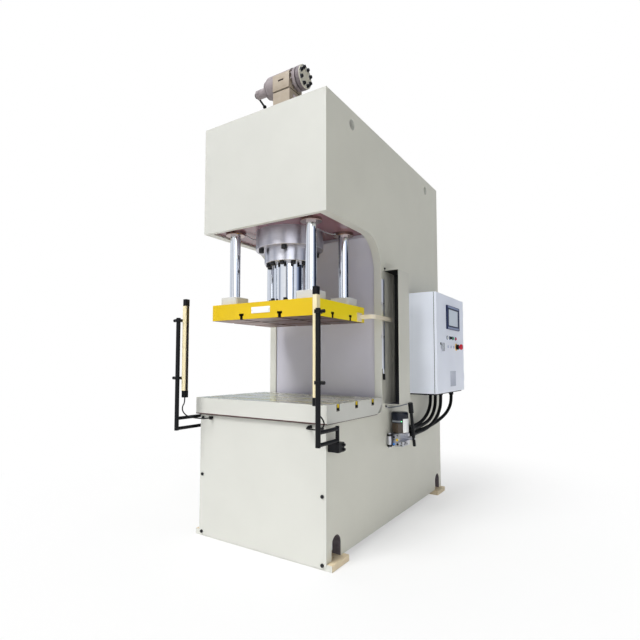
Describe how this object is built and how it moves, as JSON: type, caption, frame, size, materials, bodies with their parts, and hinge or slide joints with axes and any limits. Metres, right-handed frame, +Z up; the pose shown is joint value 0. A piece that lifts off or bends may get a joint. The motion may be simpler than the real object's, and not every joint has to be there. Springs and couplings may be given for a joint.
{
  "type": "hydraulic press",
  "caption": "C-frame hydraulic press with a cylinder head, guided yellow slide, slotted bed, light curtains, control cabinet, lubricator and a pump on top.",
  "frame": {"origin": "centre of the four anchor holes at floor level", "axes": "+X to the machine's right side with the cabinet, +Y from the open front to the back, +Z up"},
  "size_m": [1.3363, 2.2549, 3.033],
  "materials": {
    "frame_paint": "smooth semi-gloss machine enamel, warm light grey",
    "slide_paint": "glossy yellow enamel",
    "ground_steel": "ground, thinly oiled",
    "turned_steel": "turned and lightly oiled",
    "chrome_plate": "hard chrome plate, ground and polished",
    "black_steel": "black oxide",
    "black_paint": "satin black powder coat",
    "seal_rubber": "matt",
    "pump_casting": "painted casting, tan grey",
    "pump_cap_steel": "painted casting, darker grey",
    "sensor_aluminium": "black anodised",
    "guard_paint": "light grey enamel",
    "cabinet_paint": "fine-textured powder coat, cool light grey",
    "zinc_steel": "bright zinc plate",
    "gear_plastic": "moulded, matt",
    "display_glass": "dark glass in a moulded bezel",
    "switch_ring": "satin chrome on plastic",
    "cap_white": "translucent cap",
    "cap_green": "translucent cap",
    "cap_red": "moulded cap",
    "ring_yellow": "moulded",
    "black_plastic": "moulded, matt",
    "cord_jacket": "black ribbed or smooth jacket",
    "lubricator_metal": "cast and machined",
    "lubricator_glass": "clear bowl with oil in it",
    "lubricator_plastic": "moulded, matt",
    "bar_aluminium": "yellow coated extrusion"
  },
  "bodies": {
    "frame": {"side_plate_left": "frame_paint", "side_plate_right": "frame_paint", "head_front_plate": "frame_paint", "head_top_plate": "frame_paint", "back_plate": "frame_paint", "cylinder_plate": "frame_paint", "throat_plate": "frame_paint", "bed_web": "frame_paint", "bed_plate": "ground_steel", "foot_bars": "frame_paint", "front_cover": "frame_paint", "cylinder_barrel": "frame_paint", "cylinder_gland": "turned_steel", "rod_seal": "seal_rubber", "guide_bushes": "turned_steel", "return_pipe": "zinc_steel", "frame_screws": "black_steel", "sensor_rail": "sensor_aluminium", "sensor_guard": "guard_paint", "pump_body": "pump_casting", "pump_cap": "pump_cap_steel", "cabinet_box": "cabinet_paint", "control_gear": "gear_plastic", "cable_glands": "black_plastic", "conduit_1": "cord_jacket", "conduit_2": "cord_jacket", "conduit_3": "cord_jacket", "conduit_4": "cord_jacket", "lubricator_body": "lubricator_metal", "lubricator_bowl": "lubricator_glass", "lubricator_cap": "lubricator_plastic", "curtain_stands": "black_paint", "stand_blocks": "black_paint", "light_bars": "bar_aluminium", "light_bar_caps": "black_plastic", "curtain_clamps": "black_paint", "clamp_knobs": "black_plastic", "curtain_lead_right": "cord_jacket", "curtain_lead_left": "cord_jacket"},
    "ram": {"slide_plate": "slide_paint", "piston_rod": "chrome_plate", "piston_seal": "seal_rubber", "rod_flange": "turned_steel", "rod_flange_screws": "black_steel", "guide_posts": "chrome_plate", "post_blocks": "frame_paint", "sensor_arm": "frame_paint"},
    "door": {"cabinet_door": "cabinet_paint", "display_unit": "display_glass", "button_bases": "switch_ring", "emergency_stop_ring": "ring_yellow", "emergency_stop_base": "switch_ring"},
    "button_white": {"button_white": "cap_white"},
    "button_green": {"button_green": "cap_green"},
    "button_red": {"button_red": "cap_red"},
    "selector": {"selector_switch": "black_plastic"},
    "emergency_stop": {"emergency_stop_head": "cap_red"},
    "latch": {"door_latch": "zinc_steel"},
    "pump_lever": {"pump_lever": "black_steel"},
    "lubricator_lever": {"lubricator_lever": "black_steel"}
  },
  "joints": [
    {"name": "ram_slide", "type": "slide", "parent": "frame", "child": "ram", "axis": [0, 0, 1], "range_m": [-0.33, 0.17]},
    {"name": "door_hinge", "type": "hinge", "parent": "frame", "child": "door", "pos_m": [0.703, 0.989, 0.904], "axis": [0, 0, 1], "range_deg": [0, 105]},
    {"name": "latch_turn", "type": "hinge", "parent": "door", "child": "latch", "pos_m": [0.712, 0.341, 1.276], "axis": [1, 0, 0], "range_deg": [0, 90]},
    {"name": "selector_turn", "type": "hinge", "parent": "door", "child": "selector", "pos_m": [0.722, 0.555, 1.337], "axis": [1, 0, 0], "range_deg": [-45, 45]},
    {"name": "button_white_press", "type": "slide", "parent": "door", "child": "button_white", "axis": [-1, 0, 0], "range_m": [0, 0.0045], "stiffness_N_per_m": 300},
    {"name": "button_green_press", "type": "slide", "parent": "door", "child": "button_green", "axis": [-1, 0, 0], "range_m": [0, 0.0045], "stiffness_N_per_m": 300},
    {"name": "button_red_press", "type": "slide", "parent": "door", "child": "button_red", "axis": [-1, 0, 0], "range_m": [0, 0.0045], "stiffness_N_per_m": 300},
    {"name": "emergency_stop_push", "type": "slide", "parent": "door", "child": "emergency_stop", "axis": [-1, 0, 0], "range_m": [0, 0.006]},
    {"name": "pump_lever_turn", "type": "hinge", "parent": "frame", "child": "pump_lever", "pos_m": [-0.144, -0.875, 2.957], "axis": [1, 0, 0], "range_deg": [-30, 30]},
    {"name": "lubricator_lever_swing", "type": "hinge", "parent": "frame", "child": "lubricator_lever", "pos_m": [0.623, -0.048, 0.604], "axis": [1, 0, 0], "range_deg": [-25, 15]}
  ]
}
